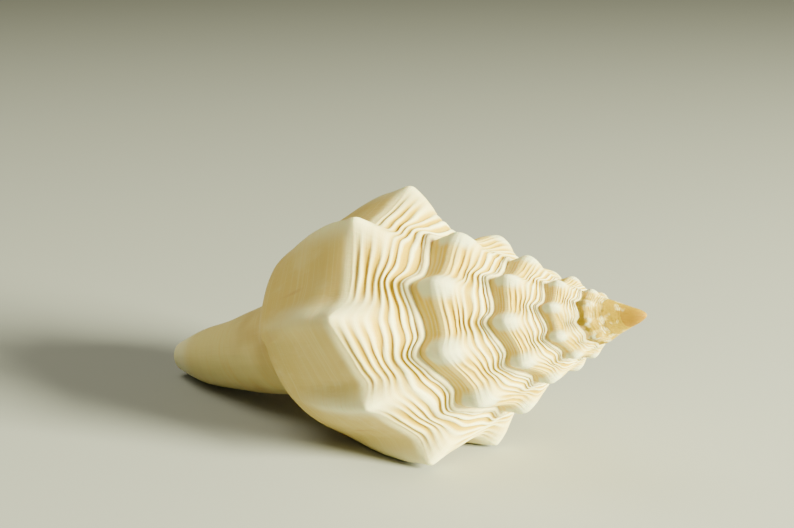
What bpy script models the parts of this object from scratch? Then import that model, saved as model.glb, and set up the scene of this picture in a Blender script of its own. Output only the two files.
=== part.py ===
"""A knobbed chank seashell, one grown piece, lying on its lip, its shoulder knobs and its canal.

The shell is a spiral: a half-plane through the axis turns round it, and the shell's outline in
that half-plane grows by one ratio each turn. A place on the surface is given by two numbers:
the turn, which is 0 at the outer lip and negative toward the tip of the spire, and the place
across the whorl, which counts the stations of the outline from the seam down to the canal.
"""

import math

import bmesh
import bpy
from mathutils import Vector

MM = 0.001

# Growth of the spiral
WHORL_RATIO = 1.512
TURNS = 7.5
KNOBS_PER_TURN = 8.409
FIRST_KNOB_TURN = -0.282
SPIRE_STRETCH = 3.0 * MM
SPIRE_STRETCH_REACH = 20.0 * MM
SPIRE_POLE = -0.6 * MM

# How the shell lies: the axis rises toward the tip of the spire, and angles round it
# start at the side seen in the usual view (-Y) and pass over the top
AXIS_RISE = math.radians(14.6)
LIP_ANGLE = math.radians(210.9)

# Outline at the outer lip. Growth is the share of the whorl ratio that a station follows:
# 1 on the spire, and 0 on the canal, which stays in place as the shell grows.
# Station: distance from the spire's tip along the axis, radius, growth, share of the knobs
STATIONS = (
    ("seam", 71.4 * MM, 34.1 * MM, 1.00, 0.10),
    ("ramp", 82.0 * MM, 39.3 * MM, 1.00, 0.40),
    ("shoulder", 93.2 * MM, 44.5 * MM, 1.00, 1.00),
    ("upper_wall", 101.5 * MM, 45.4 * MM, 1.00, 0.88),
    ("next_seam", 111.4 * MM, 44.4 * MM, 1.00, 0.68),
    ("body", 121.0 * MM, 41.9 * MM, 0.93, 0.45),
    ("lower_body", 129.8 * MM, 38.9 * MM, 0.88, 0.25),
    ("base_edge", 137.5 * MM, 35.5 * MM, 0.85, 0.10),
    ("base", 142.8 * MM, 27.6 * MM, 0.80, 0.00),
    ("neck", 148.2 * MM, 18.6 * MM, 0.60, 0.00),
    ("canal_root", 157.0 * MM, 12.6 * MM, 0.12, 0.00),
    ("canal", 172.5 * MM, 9.3 * MM, 0.00, 0.00),
    ("canal_tip", 187.0 * MM, 5.2 * MM, 0.00, 0.00),
)
SEAM = 0.0
SHOULDER = 2.0
NEXT_SEAM = 4.0
CANAL_TIP = 12.0
TIP_POLE = 189.5 * MM

# Knobs on the shoulder and the wavy seam that the next whorl lays round them
KNOB_HEIGHT = 7.0 * MM
KNOB_SHARPNESS = 2.4
SEAM_WAVE = 3.2 * MM
SEAM_WAVE_MIDDLE = 0.35
SEAM_EDGE = 1.0 * MM
BAND = 0.13
BAND_HEIGHT = 0.8 * MM

# Spiral cords on the ramp between the seam and the shoulder
CORD_START = 0.27
CORD_END = 1.84
CORD_HEIGHT = 1.1 * MM

# The canal bends a little away from the usual view and up
BEND_START = 135.0 * MM
BEND_LENGTH = 55.0 * MM
BEND_AWAY = 4.9 * MM
BEND_UP = 1.2 * MM

# Aperture: wall at the lip, its thicker part at the upper corner, and the hollow behind it
WALL = 3.6 * MM
CORNER_FILL = 0.9
CORNER_END = 1.9
CORNER_TURNS = 0.5
HOLLOW_END = 9.2
HOLLOW_TURNS = 1.2
INNER_EDGE_STEP = 0.4
KNOBS_LOST_PER_STEP = 0.3

# Groove of the open canal: where across the shell it opens and closes, its width and depth
GROOVE_OPENS = (9.0, 10.2)
GROOVE_CLOSES = (11.4, 12.6)
GROOVE_HALF_ANGLE = math.radians(22.0)
GROOVE_FLOOR_ANGLE = 0.8 * GROOVE_HALF_ANGLE
GROOVE_DEPTH = 0.42

# Fineness of the mesh: columns in a turn, steps of the hollow in a turn, and rows across
# whorls of each age, where 0 is the last whorl
COLUMNS = 54
HOLLOW_STEPS = 24
CORDS_BY_AGE = (7, 5, 4)
SPIRE_WALL_ROWS = (2.0, 3.0, 3.75)
SPIRE_ROWS_BY_AGE = {3: (0.5, 1.0, 1.5, 2.0, 3.0), 4: (1.0, 2.0, 3.0), 5: (1.0, 2.0), 6: (1.5,)}
BODY_ROWS = (2.0, 2.4, 3.0, 4.0, 5.0, 6.0, 7.0, 7.6, 8.2, 9.0, 9.5, 10.0, 11.0, 11.6, 12.0)
HOLLOW_OUTER_ROWS = (0.6, 1.3, 2.1, 3.0)
HOLLOW_SHARED_ROWS = (4.0, 5.0, 6.0, 7.0, 7.6, 8.2, 9.0, 9.5, 10.0, 11.0, 11.6, 12.0)


def curve_value(values, across):
    """Smooth value at a place across the whorl, through the stations' own values."""
    last = len(values) - 1
    index = min(int(across), last - 1)
    part = across - index
    start = values[index]
    end = values[index + 1]
    before = values[index - 1] if index > 0 else 2 * start - end
    after = values[index + 2] if index + 2 <= last else 2 * end - start
    slope = end - before
    bend = 2 * before - 5 * start + 4 * end - after
    twist = 3 * start - before - 3 * end + after
    return start + 0.5 * part * (slope + part * (bend + part * twist))


def smooth_step(low, high, value):
    """0 below low, 1 above high, with a smooth passage between."""
    part = min(max((value - low) / (high - low), 0.0), 1.0)
    return part * part * (3.0 - 2.0 * part)


def station_values(column):
    return [station[column] for station in STATIONS]


AXIAL = station_values(1)
RADIUS = station_values(2)
GROWTH = station_values(3)
KNOB_SHARE = station_values(4)


def growth_scale(turn, across):
    share = min(max(curve_value(GROWTH, across), 0.0), 1.0)
    return WHORL_RATIO ** (turn * share)


def knob_wave(turn):
    """1 on a knob's crest and 0 midway between two knobs."""
    angle = 2.0 * math.pi * KNOBS_PER_TURN * (turn - FIRST_KNOB_TURN)
    return (0.5 + 0.5 * math.cos(angle)) ** KNOB_SHARPNESS


def outline_point(turn, across, knobs=1.0):
    """Radius and axial distance on the plain outline, with its knobs and without its cords."""
    scale = growth_scale(turn, across)
    share = max(curve_value(KNOB_SHARE, across), 0.0)
    radius = curve_value(RADIUS, across) + knobs * share * KNOB_HEIGHT * knob_wave(turn)
    axial = curve_value(AXIAL, across)
    near_seam = 1.0 - smooth_step(SEAM, SHOULDER, across)
    axial += near_seam * SEAM_WAVE * (knob_wave(turn - 1.0) - SEAM_WAVE_MIDDLE)
    return radius * scale, axial * scale


def inset_point(turn, across, depth):
    """A place inside the wall: the outline without knobs, moved in along its own normal."""
    step = 0.02
    low = max(across - step, 0.0)
    high = min(across + step, CANAL_TIP)
    radius_low, axial_low = outline_point(turn, low, 0.0)
    radius_high, axial_high = outline_point(turn, high, 0.0)
    along = math.hypot(radius_high - radius_low, axial_high - axial_low)
    radius, axial = outline_point(turn, across, 0.0)
    radius -= depth * (axial_high - axial_low) / along
    axial += depth * (radius_high - radius_low) / along
    return radius, axial


def groove_share(across):
    """How far the canal is open at a place: 0 on the whorl, 1 along the canal."""
    opened = smooth_step(GROOVE_OPENS[0], GROOVE_OPENS[1], across)
    closed = smooth_step(GROOVE_CLOSES[0], GROOVE_CLOSES[1], across)
    return opened * (1.0 - closed)


def place(radius, axial, angle):
    """World place of a point given round the tilted axis."""
    spire = math.exp(-axial / SPIRE_STRETCH_REACH) * SPIRE_STRETCH
    bend = max(axial - BEND_START, 0.0) / BEND_LENGTH
    along = Vector((math.cos(AXIS_RISE), 0.0, math.sin(AXIS_RISE)))
    near = Vector((0.0, -1.0, 0.0))
    up = Vector((-math.sin(AXIS_RISE), 0.0, math.cos(AXIS_RISE)))
    out_near = radius * math.cos(angle) - BEND_AWAY * bend * bend
    out_up = radius * math.sin(angle) + BEND_UP * bend * bend
    return along * (spire - axial) + near * out_near + up * out_up


def surface_place(turn, across, cord=0.0):
    """World place on the outside of the shell; the open canal parts the last whorl's edges."""
    radius, axial = outline_point(turn, across)
    radius += cord * WHORL_RATIO ** turn
    angle = LIP_ANGLE + 2.0 * math.pi * turn
    opening = GROOVE_HALF_ANGLE * groove_share(across)
    angle -= opening * (2.0 * turn + 1.0)
    return place(radius, axial, angle)


def ramp_rows(cords):
    """Rows across the ramp: the seam's smooth band, then a groove and a crest for each cord."""
    rows = [(BAND, BAND_HEIGHT)]
    for index in range(2 * cords + 1):
        across = CORD_START + (CORD_END - CORD_START) * index / (2 * cords)
        height = CORD_HEIGHT * (0.5 if index % 2 else -0.5) if index else 0.0
        rows.append((across, height))
    return rows


def spire_rows(age):
    """Rows of a whorl of the spire between its own seam and the next one."""
    if age < len(CORDS_BY_AGE):
        return ramp_rows(CORDS_BY_AGE[age]) + [(across, 0.0) for across in SPIRE_WALL_ROWS]
    coarsest = max(SPIRE_ROWS_BY_AGE)
    return [(across, 0.0) for across in SPIRE_ROWS_BY_AGE[min(age, coarsest)]]


def stitch(mesh, left, right):
    """Triangles between two rows of (position, vertex), stepping along the one that lags."""
    i = 0
    j = 0
    while i < len(left) - 1 or j < len(right) - 1:
        if j == len(right) - 1:
            step_left = True
        elif i == len(left) - 1:
            step_left = False
        else:
            step_left = left[i + 1][0] + left[i][0] < right[j + 1][0] + right[j][0]
        if step_left:
            corners = (left[i][1], left[i + 1][1], right[j][1])
            i += 1
        else:
            corners = (left[i][1], right[j + 1][1], right[j][1])
            j += 1
        if len(set(corners)) == 3:
            mesh.faces.new(corners)


def grow_outside(mesh):
    """The spiral strip from the spire's tip to the lip. Returns the aperture's two edges."""
    total = int(TURNS * COLUMNS)
    turns = [(index - total) / COLUMNS for index in range(total + 1)]
    seam = []
    for turn in turns:
        radius, axial = outline_point(turn, SEAM)
        scale = WHORL_RATIO ** turn
        angle = LIP_ANGLE + 2.0 * math.pi * turn
        seam.append(mesh.verts.new(place(radius + SEAM_EDGE * scale, axial, angle)))
    canal_pole = mesh.verts.new(place(0.0, TIP_POLE, 0.0))

    def column(index, whole):
        turn = turns[index]
        age = int(math.ceil(-turn - 1e-6)) - 1 if turn < 0 else 0
        rows = [(SEAM, seam[index])]
        if whole:
            for across, cord in ramp_rows(CORDS_BY_AGE[0]):
                rows.append((across, mesh.verts.new(surface_place(turn, across, cord))))
            for across in BODY_ROWS:
                rows.append((across, mesh.verts.new(surface_place(turn, across))))
            rows.append((CANAL_TIP + 1.0, canal_pole))
            return rows
        for across, cord in spire_rows(max(age, 1)):
            rows.append((across, mesh.verts.new(surface_place(turn, across, cord))))
        rows.append((NEXT_SEAM, seam[index + COLUMNS]))
        return rows

    body_start = total - COLUMNS
    columns = [column(index, False) for index in range(body_start)]
    body = [column(index, True) for index in range(body_start, total + 1)]
    corner_row = [across for across, _ in body[0]].index(NEXT_SEAM)
    mesh.verts.remove(body[0][corner_row][1])
    body[0][corner_row] = (NEXT_SEAM, seam[total])
    for left, right in zip(columns, columns[1:] + [body[0][:corner_row + 1]]):
        stitch(mesh, left, right)
    for left, right in zip(body, body[1:]):
        stitch(mesh, left, right)

    tip = mesh.verts.new(place(0.0, SPIRE_POLE, 0.0))
    spiral = [vertex for _, vertex in reversed(columns[0])][:-1] + seam[:COLUMNS + 1]
    for first, second in zip(spiral, spiral[1:]):
        mesh.faces.new((first, second, tip))
    return body[0][corner_row:], body[-1]


def hollow_depth(step):
    """Turn of the hollow's ring: the lip's own half-plane first, then back into the whorl."""
    return -max(step - 1, 0) / HOLLOW_STEPS


def lip_side(step, across):
    """Inner face of the outer wall on one ring of the hollow."""
    turn = hollow_depth(step)
    scale = growth_scale(turn, across)
    canal = groove_share(across)
    near_lip = smooth_step(-CORNER_TURNS, 0.0, turn)
    fill = CORNER_FILL * near_lip * (1.0 - smooth_step(SEAM, CORNER_END, across))
    radius, axial = inset_point(turn, across, WALL * scale * (1.0 + fill))
    groove_radius = outline_point(0.0, across)[0] * (1.0 - GROOVE_DEPTH)
    radius += (groove_radius - radius) * canal
    axial += (outline_point(0.0, across)[1] - axial) * canal
    angle = LIP_ANGLE + 2.0 * math.pi * turn * (1.0 - canal) - GROOVE_FLOOR_ANGLE * canal
    return place(radius, axial, angle)


def inner_side(step, across):
    """The older whorl and the columella, seen from the hollow, one turn further back."""
    turn = hollow_depth(step) - 1.0
    if step == 1:
        turn -= INNER_EDGE_STEP / HOLLOW_STEPS
    canal = groove_share(across)
    fade = max(0.0, 1.0 - KNOBS_LOST_PER_STEP * step)
    radius, axial = outline_point(turn, across, fade)
    groove_radius = outline_point(0.0, across)[0] * (1.0 - GROOVE_DEPTH)
    radius += (groove_radius - radius) * canal
    axial += (outline_point(0.0, across)[1] - axial) * canal
    angle = LIP_ANGLE + 2.0 * math.pi * turn * (1.0 - canal) + GROOVE_FLOOR_ANGLE * canal
    return place(radius, axial, angle)


def hollow_ring(mesh, step):
    """One ring of the hollow: rows of the outer wall, and rows of the inner side."""
    shared = HOLLOW_SHARED_ROWS
    if step > 1:
        shared = [across for across in HOLLOW_SHARED_ROWS if across < HOLLOW_END]
    outer = [(across, mesh.verts.new(lip_side(step, across))) for across in HOLLOW_OUTER_ROWS]
    outer += [(across, mesh.verts.new(lip_side(step, across))) for across in shared]
    inner = [(across, mesh.verts.new(inner_side(step, across))) for across in shared]
    return outer, inner


def close_rungs(mesh, outer, inner):
    """Faces straight across between two sides that hold the same rows."""
    for index in range(len(outer) - 1):
        a = outer[index][1]
        b = outer[index + 1][1]
        c = inner[index + 1][1]
        d = inner[index][1]
        mesh.faces.new((a, b, c))
        mesh.faces.new((a, c, d))


def grow_hollow(mesh, inner_edge, lip):
    """The lip's face, the hollow behind it and the groove of the canal."""
    outer, inner = hollow_ring(mesh, 1)
    corner = inner_edge[0][1]
    pole = lip[-1]
    stitch(mesh, lip, outer + [pole])
    stitch(mesh, inner + [pole], inner_edge)
    mesh.faces.new((corner, outer[0][1], inner[0][1]))
    mesh.faces.new((pole[1], outer[-1][1], inner[-1][1]))
    extra = len(HOLLOW_OUTER_ROWS)
    for step in range(2, int(HOLLOW_TURNS * HOLLOW_STEPS) + 2):
        next_outer, next_inner = hollow_ring(mesh, step)
        kept = len(next_inner)
        stitch(mesh, outer[:extra + kept], next_outer)
        stitch(mesh, next_inner, inner[:kept])
        corner_faces = (
            (outer[0][1], inner[0][1], next_inner[0][1]),
            (outer[0][1], next_inner[0][1], next_outer[0][1]),
            (outer[extra + kept - 1][1], inner[kept - 1][1], next_inner[-1][1]),
            (outer[extra + kept - 1][1], next_inner[-1][1], next_outer[-1][1]),
        )
        for corners in corner_faces:
            mesh.faces.new(corners)
        close_rungs(mesh, outer[extra + kept - 1:], inner[kept - 1:])
        outer = next_outer
        inner = next_inner
    end = mesh.faces.new([vertex for _, vertex in outer + inner[::-1]])
    bmesh.ops.triangulate(mesh, faces=[end])


def shell_material():
    material = bpy.data.materials.new("shell")
    material.use_nodes = True
    shader = material.node_tree.nodes["Principled BSDF"]
    shader.inputs["Base Color"].default_value = (0.82, 0.72, 0.50, 1.0)
    shader.inputs["Roughness"].default_value = 0.42
    shader.inputs["Metallic"].default_value = 0.0
    return material


def set_down(mesh):
    """Moves the shell so that it stands on the ground, centred over the origin."""
    places = [vertex.co for vertex in mesh.verts]
    middle_x = (min(p.x for p in places) + max(p.x for p in places)) / 2.0
    middle_y = (min(p.y for p in places) + max(p.y for p in places)) / 2.0
    lowest = min(p.z for p in places)
    bmesh.ops.translate(mesh, verts=mesh.verts, vec=Vector((-middle_x, -middle_y, -lowest)))


def build_shell():
    mesh = bmesh.new()
    inner_edge, lip = grow_outside(mesh)
    grow_hollow(mesh, inner_edge, lip)
    bmesh.ops.recalc_face_normals(mesh, faces=mesh.faces)
    set_down(mesh)
    data = bpy.data.meshes.new("shell")
    mesh.to_mesh(data)
    mesh.free()
    data.materials.append(shell_material())
    data.shade_smooth()
    return bpy.data.objects.new("shell", data)


def main():
    for item in list(bpy.data.objects):
        bpy.data.objects.remove(item)
    collection = bpy.data.collections.new("chank_shell")
    bpy.context.scene.collection.children.link(collection)
    collection.objects.link(build_shell())


main()
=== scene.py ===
"""A knobbed chank seashell lying on its lip, on a pale floor in soft light.

The shell's surface follows one rule, which the node tree works out for every point of a few
grids: a place on the shell is a turn (0 at the outer lip, negative toward the spire's tip) and
a distance across the whorl, counted in stations from the seam to the tip of the canal.
"""

import math

import bmesh
import bpy
from mathutils import Matrix, Vector


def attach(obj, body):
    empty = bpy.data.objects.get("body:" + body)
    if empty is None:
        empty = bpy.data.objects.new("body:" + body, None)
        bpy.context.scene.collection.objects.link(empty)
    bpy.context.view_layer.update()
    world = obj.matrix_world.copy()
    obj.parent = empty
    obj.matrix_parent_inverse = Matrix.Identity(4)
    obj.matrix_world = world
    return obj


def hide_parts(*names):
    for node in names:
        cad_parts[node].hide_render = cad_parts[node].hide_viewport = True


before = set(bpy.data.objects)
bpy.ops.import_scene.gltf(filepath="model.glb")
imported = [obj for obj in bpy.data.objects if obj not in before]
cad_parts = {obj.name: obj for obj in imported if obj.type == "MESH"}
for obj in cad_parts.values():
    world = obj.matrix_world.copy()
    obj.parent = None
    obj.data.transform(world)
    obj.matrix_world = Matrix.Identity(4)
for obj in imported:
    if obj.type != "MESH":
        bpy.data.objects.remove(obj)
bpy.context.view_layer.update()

MM = 0.001
FULL_TURN = 2.0 * math.pi

# Sizes of the shell's finer forms, which the top node tree takes by name
SIZES = {
    "Cord height": 0.85 * MM,
    "Cords": 7.0,
    "Wall": 3.6 * MM,
    "Hollow turns": 1.2,
    "Fold height": 1.4 * MM,
}
GROOVE_HALF_ANGLE = math.radians(22.0)

# Growth of the spiral and its knobs, as in the solid
WHORL_RATIO = 1.512
TURNS = 7.5
KNOBS_PER_TURN = 8.409
FIRST_KNOB = -0.282
AXIS_RISE = math.radians(14.6)
LIP_ANGLE = math.radians(210.9)
SPIRE_ORIGIN = Vector((90.05, -5.19, 52.30)) * MM
SPIRE_STRETCH = 5.2 * MM
SPIRE_STRETCH_REACH = 12.0 * MM
BEND_START = 135.0 * MM
BEND_RUN = 55.0 * MM

# Outline at the lip, station by station: distance from the spire's tip along the axis and
# radius, both in millimetres, share of the whorl's growth, share of the knobs
OUTLINE = (
    (71.4, 34.1, 1.00, 0.10),
    (82.0, 39.3, 1.00, 0.40),
    (93.2, 44.5, 1.00, 1.00),
    (101.5, 45.4, 1.00, 0.83),
    (111.4, 44.4, 1.00, 0.68),
    (121.0, 41.9, 0.93, 0.38),
    (129.8, 38.9, 0.88, 0.14),
    (137.5, 35.5, 0.85, 0.03),
    (142.8, 27.6, 0.80, 0.00),
    (148.2, 18.6, 0.60, 0.00),
    (157.0, 12.6, 0.12, 0.00),
    (172.5, 9.3, 0.00, 0.00),
    (187.0, 5.2, 0.00, 0.00),
)

# The ramp and the wall below it are each a span of stations wide. The next whorl's seam ends
# the wall; the last station is the canal's end, and the pole closes it
SPAN = 2.0
SHOULDER = SPAN
NEXT_SEAM = 2.0 * SPAN
LAST = 12.0
POLE = 13.0
POLE_REACH = 2.3 * MM
NEAR = 0.001

# The outline's lengths are divided by these, because a curve node works from 0 to 1
LONGEST = 190.0
WIDEST = 50.0

# Station and width of the horn on each knob and of the keel between two knobs
HORN = (1.98, 0.36)
KEEL = (2.1, 0.28)

# Mean height of the knobs' wave, and the seam's mean station and swing on the older wall
MEAN_WAVE = 0.35
SEAM_STATION = 3.62
SEAM_SWING = 0.489

# Where the cords begin, how wide their band is, and where the seam's edge is fully risen
CORD_START = 0.20
CORD_SPAN = 1.70
EDGE_RISEN = 0.074

# How far each knob of the last whorl, and each hollow between two, stands off the even rule:
# turn from the knob nearest the lip, in knobs, and offset of the radius in millimetres
UNEVEN = (
    (-6.0, 0.4), (-5.5, 0.6), (-5.0, 0.2), (-4.5, 0.6), (-4.0, 0.0), (-3.5, 0.2),
    (-3.0, -2.4), (-2.5, 2.0), (-2.0, -0.15), (-1.5, -1.2), (-1.0, -2.2), (-0.5, 0.0),
    (0.0, -0.2), (1.0, -0.4),
)
UNEVEN_SPAN = 8.0

# How far a knob of the last whorl lies from its even place, both in knobs
SHIFTED = ((-5.0, 0.0), (-4.0, 0.0), (-3.0, 0.0), (-2.0, 0.10), (-1.0, 0.0), (0.0, 0.0))

# Columns round a turn; rows from the seam to the shoulder, down the wall, and to the canal's end
COLUMNS = 200
RAMP_ROWS = 54
WALL_ROWS = 12
BODY_ROWS = 48
FINE_ROWS = RAMP_ROWS + WALL_ROWS
FINE_TURNS = 3.5
COARSE_RAMP_ROWS = 18
COARSE_WALL_ROWS = 6

# Steps over the lip, into the hollow and across its end, and rows that round its corner
LIP_STEPS = 6
HOLLOW_STEPS = 18
CAP_STEPS = 2
CORNER_ROWS = 3
APERTURE_STEPS = LIP_STEPS + 2 * HOLLOW_STEPS + CAP_STEPS

# Stations to either side that give the outline's normal, and the reach of the weld
NORMAL_STEP = 0.03
WELD = 0.002 * MM

# Camera, as fitted to the photograph
CAMERA_PLACE = Vector((317.5, -389.5, 175.0)) * MM
CAMERA_RIGHT = Vector((0.7776, 0.6287, -0.0057))
CAMERA_BACK = Vector((0.6119, -0.7545, 0.2374))
LENS = 77.1

# The lights point at this spot, and the floor reaches this far each way
LIT_SPOT = Vector((0.0, 0.0, 0.03))
FLOOR_REACH = 6.0


class Term:
    """A value in a node tree. Arithmetic on terms adds the nodes that work it out."""

    def __init__(self, tree, socket):
        self.tree = tree
        self.socket = socket

    def math(self, operation, *others):
        node = self.tree.nodes.new("ShaderNodeMath")
        node.operation = operation
        for index, value in enumerate((self,) + others):
            feed(self.tree, node.inputs[index], value)
        return Term(self.tree, node.outputs[0])

    def __add__(self, other):
        return self.math("ADD", other)

    def __radd__(self, other):
        return self.math("ADD", other)

    def __sub__(self, other):
        return self.math("SUBTRACT", other)

    def __rsub__(self, other):
        return self.math("MULTIPLY_ADD", -1.0, other)

    def __mul__(self, other):
        return self.math("MULTIPLY", other)

    def __rmul__(self, other):
        return self.math("MULTIPLY", other)

    def __truediv__(self, other):
        return self.math("DIVIDE", other)

    def __pow__(self, other):
        return self.math("POWER", other)

    def at_least(self, other):
        return self.math("MAXIMUM", other)

    def at_most(self, other):
        return self.math("MINIMUM", other)

    def above(self, other):
        return self.math("GREATER_THAN", other)

    def below(self, other):
        return self.math("LESS_THAN", other)

    def held(self):
        """The value kept between 0 and 1."""
        return self.at_least(0.0).at_most(1.0)

    def cosine(self):
        return self.math("COSINE")

    def sine(self):
        return self.math("SINE")

    def rounded(self):
        return self.math("ROUND")


def feed(tree, socket, value):
    """Links a term to the socket, or sets a plain value on it."""
    if isinstance(value, Term):
        tree.links.new(value.socket, socket)
    else:
        socket.default_value = value


def smooth(low, high, value):
    """0 on low's side, 1 on high's, with a smooth passage between the two."""
    node = value.tree.nodes.new("ShaderNodeMapRange")
    node.interpolation_type = "SMOOTHSTEP"
    feed(value.tree, node.inputs["Value"], value)
    feed(value.tree, node.inputs["From Min"], low)
    feed(value.tree, node.inputs["From Max"], high)
    return Term(value.tree, node.outputs["Result"])


def band(rise, full, fade, gone, value):
    """1 from full to fade, passing smoothly to 0 at rise and at gone."""
    return smooth(rise, full, value) * (1.0 - smooth(fade, gone, value))


def hill(value, centre, width):
    """A round hill of height 1 about the centre."""
    off = (value - centre) / width
    return (off * off * -1.0).math("EXPONENT")


def table_share(count, table):
    """Where a count lies along a table: 0 at its first row and 1 at its last."""
    first = table[0][0]
    return (count - first) / (table[-1][0] - first)


def blend(start, end, share):
    """The value a share of the way from start to end."""
    return (end - start) * share + start


def curve(value, points):
    """A smooth curve through the points, all within 0 to 1."""
    node = value.tree.nodes.new("ShaderNodeFloatCurve")
    feed(value.tree, node.inputs["Value"], value)
    line = node.mapping.curves[0]
    line.points[0].location = points[0]
    line.points[1].location = points[-1]
    for x, y in points[1:-1]:
        line.points.new(x, y)
    for point in line.points:
        point.handle_type = "AUTO"
    node.mapping.update()
    return Term(value.tree, node.outputs["Value"])


def vector(tree, x, y, z):
    """A vector of three values or terms."""
    node = tree.nodes.new("ShaderNodeCombineXYZ")
    for socket, value in zip(node.inputs, (x, y, z)):
        feed(tree, socket, value)
    return Term(tree, node.outputs[0])


def blend_vector(start, end, share):
    """The vector a share of the way from start to end."""
    node = start.tree.nodes.new("ShaderNodeMix")
    node.data_type = "VECTOR"
    feed(start.tree, node.inputs[0], share)
    feed(start.tree, node.inputs[4], start)
    feed(start.tree, node.inputs[5], end)
    return Term(start.tree, node.outputs[1])


def noise(at, scale, detail=2.0, roughness=0.5):
    """Soft noise between about -0.5 and 0.5."""
    node = at.tree.nodes.new("ShaderNodeTexNoise")
    feed(at.tree, node.inputs["Vector"], at)
    node.inputs["Scale"].default_value = scale
    node.inputs["Detail"].default_value = detail
    node.inputs["Roughness"].default_value = roughness
    return Term(at.tree, node.outputs[0]) - 0.5


def new_group(name, inputs, outputs):
    """A geometry node group, with terms for its inputs and its output node."""
    tree = bpy.data.node_groups.new(name, "GeometryNodeTree")
    for item, kind, value in inputs:
        socket = tree.interface.new_socket(name=item, in_out="INPUT", socket_type=kind)
        socket.default_value = value
    for item, kind in outputs:
        tree.interface.new_socket(name=item, in_out="OUTPUT", socket_type=kind)
    source = tree.nodes.new("NodeGroupInput")
    terms = {item: Term(tree, source.outputs[item]) for item, kind, value in inputs}
    return tree, terms, tree.nodes.new("NodeGroupOutput")


def call(tree, group, outputs, **values):
    """Puts a group in the tree and gives the terms of its outputs."""
    node = tree.nodes.new("GeometryNodeGroup")
    node.node_tree = group
    for item, value in values.items():
        feed(tree, node.inputs[item.replace("_", " ")], value)
    return [Term(tree, node.outputs[item]) for item in outputs]


FLOAT = "NodeSocketFloat"
VECTOR = "NodeSocketVector"
GEOMETRY = "NodeSocketGeometry"


def last_whorl(turn):
    """1 on the last whorl with its sharp knobs, 0 on the older, rounder ones."""
    return smooth(-1.3, -0.95, turn)


def spire_whorls(turn):
    """1 on the whorls of the spire, 0 on the last whorl."""
    return 1.0 - smooth(-1.02, -0.98, turn)


def even_knobs(turn):
    """1 at the even place of each knob, 0 midway between two."""
    phase = (turn - FIRST_KNOB) * (KNOBS_PER_TURN * FULL_TURN)
    return phase.cosine() * 0.5 + 0.5


def canal_opening(across):
    """How far the canal's groove is open at a station."""
    return band(9.0, 10.2, 11.4, 12.6, across)


def knob_group():
    """How high the knobs stand at a turn: 1 on a crest, 0 between two."""
    inputs = (
        ("Turn", FLOAT, 0.0),
        ("Knobs per turn", FLOAT, KNOBS_PER_TURN),
        ("First knob", FLOAT, FIRST_KNOB),
        ("Crest", FLOAT, 0.5),
        ("Skew", FLOAT, 0.065),
    )
    tree, term, output = new_group("knob wave", inputs, (("Wave", FLOAT),))
    phase = (term["Turn"] - term["First knob"]) * term["Knobs per turn"]
    shifts = [(table_share(k, SHIFTED), 0.5 + shift) for k, shift in SHIFTED]
    phase = phase + curve(table_share(phase, SHIFTED).held(), shifts) - 0.5
    phase = phase + (1.0 - (phase * FULL_TURN).cosine()) * term["Skew"]
    late = last_whorl(term["Turn"])
    round_wave = ((phase * FULL_TURN).cosine() * 0.5 + 0.5) ** blend(1.9, 2.4, late)
    side = (phase * math.pi).sine()
    sharp_wave = (1.0 - (side * side + 0.008).math("SQRT")).at_least(0.0) ** 1.3
    wave = blend(round_wave, sharp_wave, term["Crest"] * blend(0.5, 1.0, late))
    feed(tree, output.inputs[0], wave * smooth(-6.2, -4.6, term["Turn"]))
    return tree


def outline_curve(part, column, span):
    """The curve through one column of the outline's table, as a share of the span."""
    points = [(index / LAST, row[column] / span) for index, row in enumerate(OUTLINE)]
    return curve(part, points)


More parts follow.
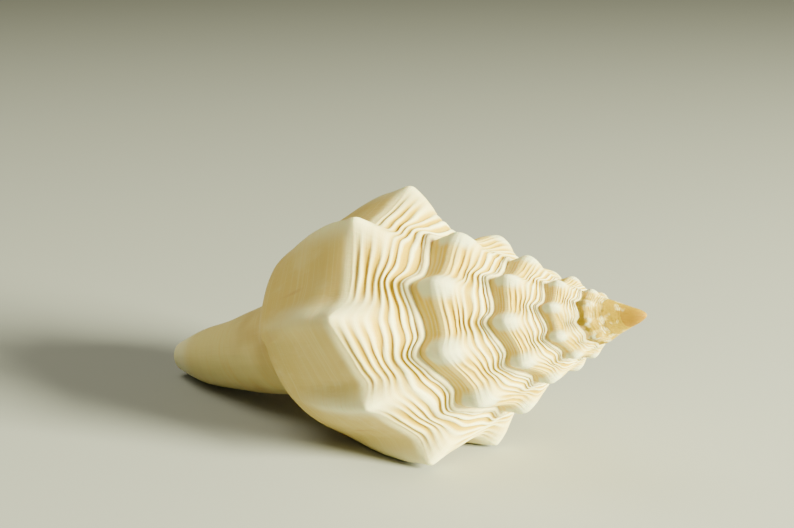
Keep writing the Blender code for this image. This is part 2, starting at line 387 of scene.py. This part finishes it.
def outline_group(knobs):
    """Radius and distance along the axis of a place on the plain outline with its knobs."""
    inputs = (
        ("Turn", FLOAT, 0.0),
        ("Across", FLOAT, 0.0),
        ("Knobs", FLOAT, 1.0),
        ("Knob height", FLOAT, 8.4 * MM),
        ("Knob foot", FLOAT, 0.7 * MM),
        ("Horn height", FLOAT, 2.2 * MM),
        ("Ridge height", FLOAT, 1.5 * MM),
        ("Keel height", FLOAT, 0.7 * MM),
        ("Whorl ratio", FLOAT, WHORL_RATIO),
        ("Seam wave", FLOAT, 3.2 * MM),
        ("Seam rise", FLOAT, 4.2 * MM),
        ("Seam dip", FLOAT, 3.5 * MM),
        ("Cone", FLOAT, 0.46),
    )
    outputs = (("Radius", FLOAT), ("Axial", FLOAT), ("Scale", FLOAT))
    tree, term, output = new_group("whorl outline", inputs, outputs)
    turn = term["Turn"]
    across = term["Across"]
    part = across.at_most(LAST) / LAST
    axial = outline_curve(part, 0, LONGEST) * (LONGEST * MM)
    radius = outline_curve(part, 1, WIDEST) * (WIDEST * MM)
    growth = outline_curve(part, 2, 1.0)
    share = outline_curve(part, 3, 1.0).at_least(0.0)
    scale = term["Whorl ratio"] ** (turn * growth)
    wave = call(tree, knobs, ["Wave"], Turn=turn)[0]
    inner_wave = call(tree, knobs, ["Wave"], Turn=turn - 1.0)[0]
    risen = term["Knob height"] * wave - term["Knob foot"]

    # Horns on the knobs, and a keel between them that is stronger on the older whorls
    late = last_whorl(turn)
    horn = hill(across, *HORN) * wave * wave * wave * term["Horn height"]
    horn = horn * blend(0.25, 1.0, late)
    keel = hill(across, *KEEL) * late * 0.25
    old_keel = (1.0 - (across - SHOULDER).at_least(0.0) / 1.8).at_least(0.0) * (1.0 - late)
    keel = keel + old_keel * smooth(1.2, 2.0, across) * 2.4
    keel = keel * (1.0 - wave) * term["Keel height"]

    # Ridges that run from the knobs down the body; the third knob's is long, with one steep side
    ridge = band(2.0, 3.2, 4.4, 6.8, across) * (wave - 0.28)
    count = (turn - FIRST_KNOB) * KNOBS_PER_TURN
    third = hill(count, -2.05, blend(0.11, 0.34, smooth(-2.3, -1.9, count)))
    third = third * smooth(2.6, 4.6, across) * (1.0 - smooth(7.0, 8.4, across)) * 1.5
    ridge = (ridge + third) * smooth(-1.02, -0.9, turn) * term["Ridge height"]
    radius = radius + term["Knobs"] * (risen * share + horn + keel + ridge)

    # The last whorl's knobs are uneven, from the first row of the table on
    points = [(table_share(k, UNEVEN), 0.5 + mm / UNEVEN_SPAN) for k, mm in UNEVEN]
    uneven = curve(table_share(count, UNEVEN), points) - 0.5
    first = UNEVEN[0][0]
    lately = smooth(first, first + 0.6, count)
    radius = radius + uneven * (UNEVEN_SPAN * MM) * lately * share * term["Knobs"]

    # The ramp's upper part follows the older whorl's knobs, in and out and along the axis
    near_seam = 1.0 - smooth(0.0, SHOULDER, across)
    axial = axial + near_seam * term["Seam wave"] * (inner_wave - MEAN_WAVE)
    at_edge = 1.0 - smooth(0.0, 1.3, across)
    radius = radius + at_edge * (inner_wave * term["Seam rise"] - term["Seam dip"])

    # The oldest whorls lie on a smooth cone, and the canal's end is closed by a round pole
    young = 1.0 - smooth(-5.4, -4.1, turn)
    radius = blend(radius, axial * term["Cone"], young)
    past = (across - LAST).held()
    radius = radius * (1.0 - past * past).at_least(0.0).math("SQRT")
    axial = axial + past * POLE_REACH
    feed(tree, output.inputs[0], radius * scale)
    feed(tree, output.inputs[1], axial * scale)
    feed(tree, output.inputs[2], scale)
    return tree


def place_group():
    """Place in space of a radius, a distance along the axis and an angle round it."""
    inputs = (
        ("Radius", FLOAT, 0.0),
        ("Axial", FLOAT, 0.0),
        ("Angle", FLOAT, 0.0),
        ("Axis rise", FLOAT, AXIS_RISE),
        ("Bend away", FLOAT, 4.9 * MM),
        ("Bend up", FLOAT, 1.2 * MM),
    )
    tree, term, output = new_group("wound place", inputs, (("Place", VECTOR),))
    axial = term["Axial"]
    stretch = (axial / -SPIRE_STRETCH_REACH).math("EXPONENT") * SPIRE_STRETCH
    bend = (axial - BEND_START).at_least(0.0) / BEND_RUN
    bend = bend * bend
    along = stretch - axial
    near = term["Radius"] * term["Angle"].cosine() - bend * term["Bend away"]
    up = term["Radius"] * term["Angle"].sine() + bend * term["Bend up"]
    rise_cosine = term["Axis rise"].cosine()
    rise_sine = term["Axis rise"].sine()
    x = along * rise_cosine - up * rise_sine + SPIRE_ORIGIN.x
    y = near * -1.0 + SPIRE_ORIGIN.y
    z = along * rise_sine + up * rise_cosine + SPIRE_ORIGIN.z
    feed(tree, output.inputs[0], vector(tree, x, y, z))
    return tree


def foot_group(knobs):
    """Station on an older whorl's wall where the next whorl's seam lies."""
    tree, term, output = new_group("seam foot", (("Turn", FLOAT, 0.0),), (("Across", FLOAT),))
    wave = call(tree, knobs, ["Wave"], Turn=term["Turn"])[0]
    feed(tree, output.inputs[0], (wave - MEAN_WAVE) * SEAM_SWING + SEAM_STATION)
    return tree


def surface_group(outline, foot, place):
    """The finished outside of the shell, with its cords, and what the material needs."""
    inputs = (
        ("Turn", FLOAT, 0.0),
        ("Across", FLOAT, 0.0),
        ("Cord height", FLOAT, SIZES["Cord height"]),
        ("Cords", FLOAT, SIZES["Cords"]),
        ("Seam edge", FLOAT, 0.7 * MM),
        ("Tip", FLOAT, 2.2 * MM),
        ("Bluntness", FLOAT, 0.6),
        ("Groove half angle", FLOAT, GROOVE_HALF_ANGLE),
    )
    outputs = (("Place", VECTOR), ("Relief", FLOAT))
    tree, term, output = new_group("shell outside", inputs, outputs)
    turn = term["Turn"]
    across = term["Across"]

    # The wall runs down to the seam of the next whorl, and on the last whorl to the canal
    foot_at = call(tree, foot, ["Across"], Turn=turn)[0]
    covered = 1.0 - smooth(-1.0, -0.97, turn)
    above_foot = ((across - SHOULDER) / SPAN).held()
    past_foot = 1.0 - smooth(NEXT_SEAM, 5.0, across)
    on_wall = across - (NEXT_SEAM - foot_at) * above_foot * past_foot * covered
    wall_radius, wall_axial = call(
        tree, outline, ["Radius", "Axial"], Turn=turn, Across=on_wall, Knobs=1.0
    )

    # Cords on the ramp, uneven in height and a little in course, and faint ones below
    wander = noise(vector(tree, turn * 6.0, across * 1.6, 0.0), 1.0) * 0.22
    wander = wander + noise(vector(tree, turn * 22.0, across * 3.5, 9.0), 1.0) * 0.08
    cord_part = (across - CORD_START) / CORD_SPAN
    uneven = (cord_part * 11.0).sine() * 0.018
    phase = (cord_part + wander + uneven) * term["Cords"]
    cord = (0.5 + (phase * FULL_TURN).cosine() * 0.5) ** 1.4 * 2.0 - 1.0
    split = smooth(0.0, 0.25, noise(vector(tree, turn * 9.0, across * 4.0, 12.0), 1.0))
    cord = cord - (phase * (2.0 * FULL_TURN)).cosine() * split * 0.45
    on_ramp = band(0.08, 0.2, 1.6, 2.1, across)
    near_knob = even_knobs(turn)
    on_ramp = on_ramp * (1.0 - near_knob ** 1.6 * smooth(0.5, 1.3, across) * 0.95)
    strength = 1.0 + noise(vector(tree, turn * 12.0, across * 3.0, 3.0), 1.0) * 1.5
    relief = cord * on_ramp * strength
    wall_cord = ((across + wander) * 24.0).cosine() * 0.35
    on_wall_part = band(1.9, 2.3, 3.5, 3.9, across) * spire_whorls(turn)
    relief = relief + wall_cord * on_wall_part * (1.0 - near_knob * 0.7)
    whorl_scale = (turn * math.log(WHORL_RATIO)).math("EXPONENT")
    radius = wall_radius + relief * term["Cord height"] * 0.5 * whorl_scale
    chips = 1.0 + noise(vector(tree, turn * 90.0, 0.0, 5.0), 1.0, 3.0) * 1.6
    edge = (1.0 - smooth(0.07, 0.14, across)) * chips
    radius = radius + edge * term["Seam edge"] * whorl_scale

    # Growth lines: low folds along the lip's own direction
    growth_flow = vector(tree, turn * 60.0, across * 0.7, 7.0)
    low_folds = noise(growth_flow, 1.0, 3.0) * (smooth(2.0, 3.0, across) * 0.5 + 0.12)
    fading = 1.0 - smooth(8.5, 11.0, across)
    radius = radius + low_folds * (0.8 * MM) * whorl_scale * fading

    # The seam's edge rises from the older whorl's wall
    older = turn - 1.0
    older_foot = call(tree, foot, ["Across"], Turn=older)[0]
    foot_radius, foot_axial = call(
        tree, outline, ["Radius", "Axial"], Turn=older, Across=older_foot, Knobs=1.0
    )
    climb = (across / EDGE_RISEN).held() * (math.pi / 2.0)
    radius = blend(foot_radius, radius, climb.sine())
    axial = blend(foot_axial, wall_axial, 1.0 - climb.cosine())

    # The wall's last row is the seam itself, worked out in the very same way
    at_seam = across.above(NEXT_SEAM - NEAR) * across.below(NEXT_SEAM + NEAR)
    at_seam = at_seam * turn.below(-0.9999)
    seam_radius, seam_axial = call(
        tree, outline, ["Radius", "Axial"], Turn=turn, Across=foot_at, Knobs=1.0
    )
    radius = blend(radius, seam_radius, at_seam)
    axial = blend(axial, seam_axial, at_seam)

    # The last turn leaves the canal's groove open between its two ends
    opening = canal_opening(across) * term["Groove half angle"] * turn.above(-1.0 - NEAR)
    angle = turn * FULL_TURN + LIP_ANGLE - opening * (turn * 2.0 + 1.0)

    # The spiral begins at the tip, rounded like a drop
    start = turn + across.at_most(NEXT_SEAM) / NEXT_SEAM
    growing = ((start + (TURNS - 1.0)) / 0.8).held()
    grown = blend(term["Tip"], axial, growing)
    blunt = (1.0 - growing / term["Bluntness"]).at_least(0.0)
    radius = radius * (grown / axial) * (1.0 - blunt * blunt).math("SQRT")
    axial = grown
    spot = call(tree, place, ["Place"], Radius=radius, Axial=axial, Angle=angle)[0]
    feed(tree, output.inputs[0], spot)
    feed(tree, output.inputs[1], relief)
    return tree


def aperture_group(outline, foot, place, outside):
    """Lip, hollow and groove of the canal. Each row runs in over the lip and out again."""
    inputs = (
        ("Across", FLOAT, 0.0),
        ("Step", FLOAT, 0.0),
        ("Corner", FLOAT, 0.0),
        ("Wall", FLOAT, SIZES["Wall"]),
        ("Lip roundness", FLOAT, 1.0 * MM),
        ("Hollow turns", FLOAT, SIZES["Hollow turns"]),
        ("Fold height", FLOAT, SIZES["Fold height"]),
        ("Groove half angle", FLOAT, GROOVE_HALF_ANGLE),
        ("Groove depth", FLOAT, 0.42),
    )
    tree, term, output = new_group("shell inside", inputs, (("Place", VECTOR),))
    across = term["Across"]
    step = term["Step"]
    last = float(APERTURE_STEPS)
    inward = ((step - LIP_STEPS) / HOLLOW_STEPS).held()
    outward = ((last - step) / HOLLOW_STEPS).held()
    crossed = ((step - (LIP_STEPS + HOLLOW_STEPS)) / CAP_STEPS).held()
    reach = term["Hollow turns"] * (1.0 - smooth(8.4, 9.6, across))
    depth = reach * (inward * outward) ** 1.5
    rounding = (step / LIP_STEPS).at_most(1.0) * math.pi
    within = 0.5 - rounding.cosine() * 0.5
    opened = canal_opening(across)
    opening = opened * term["Groove half angle"]

    # Inner face of the outer wall, set in along the outline's own normal
    row = across + (1.0 - across / NEXT_SEAM).at_least(0.0) * 0.6 * within
    values = {"Turn": depth * -1.0, "Knobs": 1.0 - within}
    radius, axial, scale = call(
        tree, outline, ["Radius", "Axial", "Scale"], Across=row, **values
    )
    before = (row - NORMAL_STEP).at_least(0.0)
    after = (row + NORMAL_STEP).at_most(LAST)
    low = call(tree, outline, ["Radius", "Axial"], Across=before, **values)
    high = call(tree, outline, ["Radius", "Axial"], Across=after, **values)
    run_radius = high[0] - low[0]
    run_axial = high[1] - low[1]
    run = (run_radius * run_radius + run_axial * run_axial + 1e-12).math("SQRT")
    fill = (1.0 - smooth(0.0, 0.5, depth)) * (1.0 - smooth(0.0, 1.9, across)) * 0.9
    inset = term["Wall"] * scale * (1.0 + fill) * within
    radius = radius - inset * run_axial / run
    axial = axial + inset * run_radius / run
    bulge = rounding.sine() * term["Lip roundness"] / radius.at_least(2.0 * MM)
    angle = LIP_ANGLE - depth * FULL_TURN + bulge - opening
    outer = call(tree, place, ["Place"], Radius=radius, Axial=axial, Angle=angle)[0]

    # The older whorl and the columella with its three folds
    row = across.at_least(NEXT_SEAM)
    turn = -1.0 - depth
    upper = 1.0 - smooth(NEXT_SEAM, 5.0, row)
    foot_at = call(tree, foot, ["Across"], Turn=turn)[0]
    deep = smooth(0.0, 0.08, depth)
    row = row + upper * (deep * 0.35 - (NEXT_SEAM - foot_at) * (1.0 - deep))
    knobs = 1.0 - smooth(0.0, 0.12, depth)
    radius, axial = call(tree, outline, ["Radius", "Axial"], Turn=turn, Across=row, Knobs=knobs)
    fold = ((row - 7.55) * (2.0 * FULL_TURN)).cosine().at_least(0.0)
    fold = fold * smooth(7.28, 7.32, row) * (1.0 - smooth(8.78, 8.82, row)) * deep
    axial = axial + fold * term["Fold height"]
    radius = radius + fold * term["Fold height"] * 0.5
    angle = turn * FULL_TURN + LIP_ANGLE + opening
    inner = call(tree, place, ["Place"], Radius=radius, Axial=axial, Angle=angle)[0]
    whorl = blend_vector(outer, inner, crossed.at_least(term["Corner"]))

    # The canal's groove, a round trough from one edge to the other
    part = step / last
    near = call(tree, outline, ["Radius", "Axial"], Turn=0.0, Across=across, Knobs=0.0)
    far = call(tree, outline, ["Radius", "Axial"], Turn=-1.0, Across=across, Knobs=0.0)
    trough = (part * math.pi).sine().at_least(0.0) ** 0.7 * opened * term["Groove depth"]
    radius = blend(near[0], far[0], part) * (1.0 - trough)
    axial = blend(near[1], far[1], part)
    angle = LIP_ANGLE - opening * (1.0 - part * 2.0)
    groove = call(tree, place, ["Place"], Radius=radius, Axial=axial, Angle=angle)[0]
    spot = blend_vector(whorl, groove, smooth(9.0, 10.2, across))

    # Both edges are the outside's own
    start = call(tree, outside, ["Place"], Turn=0.0, Across=across)[0]
    end = call(tree, outside, ["Place"], Turn=-1.0, Across=across.at_least(NEXT_SEAM))[0]
    spot = blend_vector(spot, start, step.below(0.5))
    spot = blend_vector(spot, end, step.above(last - 0.5))
    feed(tree, output.inputs[0], spot)
    return tree


def grid(tree, columns, rows):
    """A flat grid, with each point's column and row counted from 0."""
    node = tree.nodes.new("GeometryNodeMeshGrid")
    node.inputs["Size X"].default_value = 1.0
    node.inputs["Size Y"].default_value = 1.0
    node.inputs["Vertices X"].default_value = columns + 1
    node.inputs["Vertices Y"].default_value = rows + 1
    at = tree.nodes.new("GeometryNodeInputPosition")
    parts = tree.nodes.new("ShaderNodeSeparateXYZ")
    tree.links.new(at.outputs[0], parts.inputs[0])
    column = ((Term(tree, parts.outputs[0]) + 0.5) * float(columns)).rounded()
    row = ((Term(tree, parts.outputs[1]) + 0.5) * float(rows)).rounded()
    return node.outputs["Mesh"], column, row


def row_place(row, ramp_rows, wall_rows):
    """Station of a row: the ramp's rows, the wall's rows, then those down to the canal."""
    ramp = (row / ramp_rows * SPAN).at_most(SPAN)
    wall = ((row - ramp_rows) / wall_rows * SPAN).at_least(0.0).at_most(SPAN)
    body = ((row - (ramp_rows + wall_rows)) / BODY_ROWS * (POLE - NEXT_SEAM)).at_least(0.0)
    return ramp + wall + body


def coarsened(across, rows):
    """The nearest station where a span has only this many rows."""
    return (across * rows / SPAN).rounded() * SPAN / rows


def add_step(tree, kind, geometry):
    """Adds a node that works on the geometry."""
    node = tree.nodes.new(kind)
    tree.links.new(geometry, node.inputs["Geometry"])
    return node


def keep_value(tree, geometry, name, kind, domain, value):
    """Stores a value on the mesh under a name that the material reads."""
    node = add_step(tree, "GeometryNodeStoreNamedAttribute", geometry)
    node.data_type = kind
    node.domain = domain
    node.inputs["Name"].default_value = name
    feed(tree, node.inputs["Value"], value)
    return node.outputs["Geometry"]


def sheet(tree, geometry, spot, relief, place):
    """Keeps what the material reads, then moves the grid's points to their places."""
    geometry = keep_value(tree, geometry, "spot", "FLOAT_VECTOR", "CORNER", spot)
    geometry = keep_value(tree, geometry, "relief", "FLOAT", "POINT", relief)
    node = add_step(tree, "GeometryNodeSetPosition", geometry)
    feed(tree, node.inputs["Position"], place)
    return node.outputs["Geometry"]


def outside_sheet(tree, outside, mesh, turn, across, cords):
    """A part of the outside, made of a grid whose points lie at these places on the shell."""
    spot, relief = call(tree, outside, ["Place", "Relief"], Turn=turn, Across=across, **cords)
    known = vector(tree, turn, across, 0.0)
    return sheet(tree, mesh, known, relief, spot)


def shell_tree(material):
    """The whole shell: the coarse tip of the spire, the whorls with their cords, the hollow."""
    inputs = [(item, FLOAT, size) for item, size in SIZES.items()]
    tree, term, output = new_group("chank shell", inputs, (("Geometry", GEOMETRY),))
    knobs = knob_group()
    outline = outline_group(knobs)
    place = place_group()
    foot = foot_group(knobs)
    outside = surface_group(outline, foot, place)
    inside = aperture_group(outline, foot, place, outside)
    sheets = []
    cords = {"Cord_height": term["Cord height"], "Cords": term["Cords"]}

    # Whorls with cords, and the last whorl down to the canal
    columns = int(FINE_TURNS * COLUMNS)
    mesh, column, row = grid(tree, columns, FINE_ROWS + BODY_ROWS)
    turn = (column - columns) / COLUMNS
    across = row_place(row, RAMP_ROWS, WALL_ROWS)
    coarse_ramp = coarsened(across, COARSE_RAMP_ROWS)
    coarse_wall = coarsened(across, COARSE_WALL_ROWS)
    coarse = blend(coarse_ramp, coarse_wall, across.above(SHOULDER + NEAR))
    across = blend(across, coarse, column.below(0.5))
    unwanted = add_step(tree, "GeometryNodeDeleteGeometry", mesh)
    hidden = turn.below(-1.0 - NEAR) * across.above(NEXT_SEAM + NEAR)
    feed(tree, unwanted.inputs["Selection"], hidden)
    sheets.append(outside_sheet(tree, outside, unwanted.outputs[0], turn, across, cords))

    # The spire's oldest whorls
    columns = int((TURNS - FINE_TURNS) * COLUMNS)
    mesh, column, row = grid(tree, columns, COARSE_RAMP_ROWS + COARSE_WALL_ROWS)
    turn = column / COLUMNS - TURNS
    across = row_place(row, COARSE_RAMP_ROWS, COARSE_WALL_ROWS)
    sheets.append(outside_sheet(tree, outside, mesh, turn, across, cords))

    # The aperture
    mesh, column, row = grid(tree, APERTURE_STEPS, FINE_ROWS + BODY_ROWS + CORNER_ROWS)
    across = row_place(row - CORNER_ROWS, RAMP_ROWS, WALL_ROWS).at_least(0.0)
    corner = (1.0 - row / CORNER_ROWS).at_least(0.0)
    spot = call(
        tree, inside, ["Place"], Across=across, Step=column, Corner=corner, Wall=term["Wall"],
        Hollow_turns=term["Hollow turns"], Fold_height=term["Fold height"],
    )[0]
    known = vector(tree, column / float(APERTURE_STEPS), across, 1.0)
    sheets.append(sheet(tree, mesh, known, column * 0.0, spot))

    join = tree.nodes.new("GeometryNodeJoinGeometry")
    for made in sheets:
        tree.links.new(made, join.inputs[0])
    weld = add_step(tree, "GeometryNodeMergeByDistance", join.outputs[0])
    weld.inputs["Distance"].default_value = WELD
    shade = add_step(tree, "GeometryNodeSetShadeSmooth", weld.outputs[0])
    realize = add_step(tree, "GeometryNodeRealizeInstances", shade.outputs[0])
    finish = add_step(tree, "GeometryNodeSetMaterial", realize.outputs[0])
    finish.inputs["Material"].default_value = material
    tree.links.new(finish.outputs[0], output.inputs[0])
    return tree


def plain_mesh(name, tree, sizes):
    """Runs a tree on an empty piece and keeps its result as a plain mesh."""
    maker = bpy.data.objects.new(name + "_maker", bpy.data.meshes.new(name + "_maker"))
    bpy.context.scene.collection.objects.link(maker)
    modifier = maker.modifiers.new("grow", "NODES")
    modifier.node_group = tree
    for item in tree.interface.items_tree:
        if item.in_out == "INPUT" and item.name in sizes:
            modifier[item.identifier] = sizes[item.name]
    graph = bpy.context.evaluated_depsgraph_get()
    data = bpy.data.meshes.new_from_object(maker.evaluated_get(graph))
    maker.modifiers.remove(modifier)
    bpy.data.objects.remove(maker)
    data.name = name
    mesh = bmesh.new()
    mesh.from_mesh(data)
    bmesh.ops.recalc_face_normals(mesh, faces=mesh.faces)
    mesh.to_mesh(data)
    mesh.free()
    piece = bpy.data.objects.new(name, data)
    bpy.context.scene.collection.objects.link(piece)
    return piece


def mix_colour(tree, start, end, share):
    """The colour a share of the way from start to end."""
    node = tree.nodes.new("ShaderNodeMix")
    node.data_type = "RGBA"
    feed(tree, node.inputs[0], share)
    feed(tree, node.inputs[6], start)
    feed(tree, node.inputs[7], end)
    return Term(tree, node.outputs[2])


def stored(tree, name):
    """A node that reads a value stored on the mesh."""
    node = tree.nodes.new("ShaderNodeAttribute")
    node.attribute_name = name
    return node


# Colours of the shell, from the body to the tip and the inside
WHITE = (0.94, 0.91, 0.55, 1.0)
PALE = (0.84, 0.70, 0.30, 1.0)
# Whiter knob tops, with a grey-green cast that is painted cool sky light
KNOB_WHITE_AND_SKY_LIGHT = (0.80, 0.81, 0.54, 1.0)
SEAM = (0.92, 0.84, 0.46, 1.0)
CREAM = (0.73, 0.53, 0.15, 1.0)
GOLD = (0.80, 0.57, 0.08, 1.0)
# Tan of the grooves between cords: partly their own colour, partly painted shade in the grooves
GROOVE_TAN_AND_SHADE = (0.58, 0.38, 0.008, 1.0)
# Darker gold of the spire's walls: partly their own tan, partly painted shade below the shoulder
SHADED_WALL = (0.80, 0.54, 0.05, 1.0)
CANAL = (0.80, 0.68, 0.29, 1.0)
# Whiter end of the canal: a painted sheen
CANAL_END_SHEEN = (0.90, 0.86, 0.56, 1.0)
# Dark brown of the painted shade where the body meets the canal
JUNCTION_SHADE = (0.46, 0.25, 0.07, 1.0)
ORANGE = (0.27, 0.145, 0.0003, 1.0)
YELLOW = (0.40, 0.26, 0.003, 1.0)
STAIN = (0.58, 0.34, 0.12, 1.0)
FLESH = (0.80, 0.58, 0.20, 1.0)
INSIDE = (0.88, 0.62, 0.42, 1.0)
FLOOR = (0.32, 0.34, 0.37, 1.0)


def shell_material():
    """Cream-white shell: golden in the grooves and on the spire's walls, which is partly painted
    shade, orange at the tip.
    """
    material = bpy.data.materials.new("chank shell")
    material.use_nodes = True
    tree = material.node_tree
    shader = tree.nodes["Principled BSDF"]
    known = tree.nodes.new("ShaderNodeSeparateXYZ")
    tree.links.new(stored(tree, "spot").outputs["Vector"], known.inputs[0])
    turn = Term(tree, known.outputs[0])
    across = Term(tree, known.outputs[1])
    within = Term(tree, known.outputs[2])
    relief = Term(tree, stored(tree, "relief").outputs["Fac"])
    coordinate = tree.nodes.new("ShaderNodeTexCoord")
    space = Term(tree, coordinate.outputs["Object"])

    spire = spire_whorls(turn)
    ramp = band(0.06, 0.16, 1.6, 2.2, across)
    side = band(2.0, 2.4, 3.9, 4.0, across)
    near_knob = even_knobs(turn)
    knob = near_knob ** 2.0
    blotch = noise(space, 90.0, 3.0)

    # Body, ramp and canal
    colour = mix_colour(tree, CREAM, PALE, smooth(-0.4, 0.6, blotch) * 0.5)
    colour = mix_colour(tree, colour, WHITE, band(0.1, 0.2, 2.0, 2.6, across))
    colour = mix_colour(tree, colour, CANAL, smooth(8.6, 9.6, across))

    # Spire walls darker gold, partly own tan, partly painted shade; groove tan partly painted
    # shade; knobs whiter with painted cool sky light; pale seam bands
    wall = smooth(1.9, 2.6, across) * spire
    # The spire's walls are painted darker gold: partly their own tan, partly painted shade
    colour = mix_colour(tree, colour, SHADED_WALL, wall)
    streak = smooth(-0.4, 0.4, noise(vector(tree, turn * 5.0, across * 2.0, 4.0), 1.0, 2.0))
    gold = band(0.4, 1.4, 2.0, 2.6, across) * (1.0 - knob * 0.7)
    colour = mix_colour(tree, colour, GOLD, gold * (spire * 0.5 + 0.35) * (streak * 0.6 + 0.6))
    # The low parts between the cords are painted darker tan: partly their own tan, partly
    # painted shade in the grooves
    groove = (1.0 - smooth(-0.8, 0.75, relief)) * ramp * (streak * 0.4 + 0.8)
    colour = mix_colour(tree, colour, GROOVE_TAN_AND_SHADE, groove)
    line = smooth(-0.15, 0.25, relief) * side * spire
    colour = mix_colour(tree, colour, WHITE, line * 0.4)
    # Knob tops are painted whiter, with a grey-green cast that is painted cool sky light on
    # their upper faces
    crown = knob * band(0.9, 1.6, 3.0, 3.9, across) * spire
    colour = mix_colour(tree, colour, KNOB_WHITE_AND_SKY_LIGHT, smooth(0.22, 0.75, crown))
    colour = mix_colour(tree, colour, SEAM, (1.0 - smooth(0.09, 0.15, across)) * 0.8)

    # The body's ridges are paler, and it has fine spiral lines, pale growth bands and a few
    # brown ones, and a patchy painted shade in dark brown where the body meets the canal
    past_ramp = smooth(2.2, 3.0, across) * (1.0 - spire)
    crest = near_knob ** 6.0 * smooth(1.0, 1.8, across) * (1.0 - spire)
    crest = crest * (1.0 - smooth(3.5, 6.5, across))
    colour = mix_colour(tree, colour, WHITE, crest * 0.9)
    flow = turn + across * 0.006
    bands = noise(vector(tree, flow * 26.0, across * 0.5, 1.0), 1.0, 3.0, 0.6)
    colour = mix_colour(tree, colour, PALE, smooth(0.0, 0.2, bands) * past_ramp * 0.55)
    fine = noise(vector(tree, turn * 2.5, across * 9.0, 8.0), 1.0, 4.0, 0.7)
    colour = mix_colour(tree, colour, PALE, smooth(0.0, 0.16, fine) * past_ramp * 0.55)
    colour = mix_colour(tree, colour, FLESH, smooth(0.0, -0.16, fine) * past_ramp * 0.45)
    stains = noise(vector(tree, flow * 9.0, across * 0.35, 6.0), 1.0, 2.0)
    thin = noise(vector(tree, flow * 55.0, across * 0.3, 2.0), 1.0, 2.0)
    stains = smooth(0.02, 0.15, stains) * smooth(0.04, 0.16, thin) * past_ramp
    stains = stains * (1.0 - smooth(8.0, 9.0, across))
    colour = mix_colour(tree, colour, STAIN, stains * 0.6)
    # Patchy dark brown where the body meets the canal: painted shade in the junction
    junction_shade = band(7.0, 8.2, 9.3, 10.2, across) * (1.0 - spire)
    junction_shade = junction_shade * smooth(-0.12, 0.25, noise(space, 45.0, 2.0))
    colour = mix_colour(tree, colour, JUNCTION_SHADE, junction_shade * 0.6)
    # The canal's end is painted whiter: a painted sheen
    colour = mix_colour(tree, colour, CANAL_END_SHEEN, smooth(11.0, 11.6, across) * 0.8)

    # The tip: mottled yellow, then plain orange
    mottle = smooth(-0.08, 0.06, noise(space, 330.0, 2.0) + smooth(-4.4, -6.0, turn) * 0.12)
    tip = 1.0 - smooth(-4.6, -4.0, turn)
    colour = mix_colour(tree, colour, YELLOW, tip * mottle)
    colour = mix_colour(tree, colour, ORANGE, 1.0 - smooth(-6.7, -6.0, turn))
    colour = mix_colour(tree, colour, INSIDE, within * 0.8)
    feed(tree, shader.inputs["Base Color"], colour)

    # Satin gloss and fine growth lines
    lines = noise(vector(tree, turn * 240.0, across * 1.5, 0.0), 1.0, 3.0)
    spirals = noise(vector(tree, turn * 3.0, across * 40.0, 5.0), 1.0, 2.0)
    grain = noise(space, 900.0, 2.0)
    fade = 1.0 - within
    bump = tree.nodes.new("ShaderNodeBump")
    bump.inputs["Strength"].default_value = 0.35
    bump.inputs["Distance"].default_value = 0.4 * MM
    feed(tree, bump.inputs["Height"], (lines + spirals * 0.6 + grain * 0.3) * fade)
    tree.links.new(bump.outputs[0], shader.inputs["Normal"])
    rough = blend(0.30, 0.44, fade) + tip * 0.15
    feed(tree, shader.inputs["Roughness"], rough + grain * 0.1)
    shader.inputs["Specular IOR Level"].default_value = 0.22
    shader.inputs["Subsurface Weight"].default_value = 0.25
    shader.inputs["Subsurface Scale"].default_value = 3.0 * MM
    shader.inputs["Subsurface Radius"].default_value = (1.0, 0.6, 0.25)
    return material


def floor_material():
    material = bpy.data.materials.new("pale floor")
    material.use_nodes = True
    shader = material.node_tree.nodes["Principled BSDF"]
    shader.inputs["Base Color"].default_value = FLOOR
    shader.inputs["Roughness"].default_value = 0.8
    return material


def pale_floor():
    data = bpy.data.meshes.new("floor")
    signs = ((-1.0, -1.0), (1.0, -1.0), (1.0, 1.0), (-1.0, 1.0))
    corners = [(x * FLOOR_REACH, y * FLOOR_REACH, 0.0) for x, y in signs]
    data.from_pydata(corners, [], [(0, 1, 2, 3)])
    data.materials.append(floor_material())
    floor = bpy.data.objects.new("floor", data)
    bpy.context.scene.collection.objects.link(floor)


def soft_light(name, place, size, power, colour):
    data = bpy.data.lights.new(name, "AREA")
    data.shape = "DISK"
    data.size = size
    data.energy = power
    data.color = colour
    light = bpy.data.objects.new(name, data)
    light.location = place
    light.rotation_euler = (LIT_SPOT - place).to_track_quat("-Z", "Y").to_euler()
    bpy.context.scene.collection.objects.link(light)


def studio():
    world = bpy.data.worlds.new("studio")
    world.use_nodes = True
    sky = world.node_tree.nodes["Background"]
    sky.inputs["Color"].default_value = (1.0, 0.93, 0.58, 1.0)
    sky.inputs["Strength"].default_value = 0.18
    bpy.context.scene.world = world
    soft_light(
        "key", place=Vector((1.3, 0.12, 0.42)), size=0.5, power=185.0, colour=(1.0, 0.98, 0.58)
    )
    soft_light(
        "above", place=Vector((-0.5, -0.25, 1.25)), size=0.9, power=10.0,
        colour=(1.0, 0.96, 0.66),
    )


def camera():
    data = bpy.data.cameras.new("camera")
    data.lens = LENS
    data.sensor_width = 36.0
    data.sensor_fit = "HORIZONTAL"
    data.clip_start = 0.01
    data.clip_end = 50.0
    shot = bpy.data.objects.new("camera", data)
    back = CAMERA_BACK.normalized()
    right = (CAMERA_RIGHT - back * CAMERA_RIGHT.dot(back)).normalized()
    up = back.cross(right)
    turn = Matrix((right, up, back)).transposed().to_4x4()
    shot.matrix_world = Matrix.Translation(CAMERA_PLACE) @ turn
    bpy.context.scene.collection.objects.link(shot)
    bpy.context.scene.camera = shot


def main():
    camera()
    tree = shell_tree(shell_material())
    shell = plain_mesh("chank_shell", tree, SIZES)
    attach(shell, "root")
    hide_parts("shell")
    pale_floor()
    studio()


main()
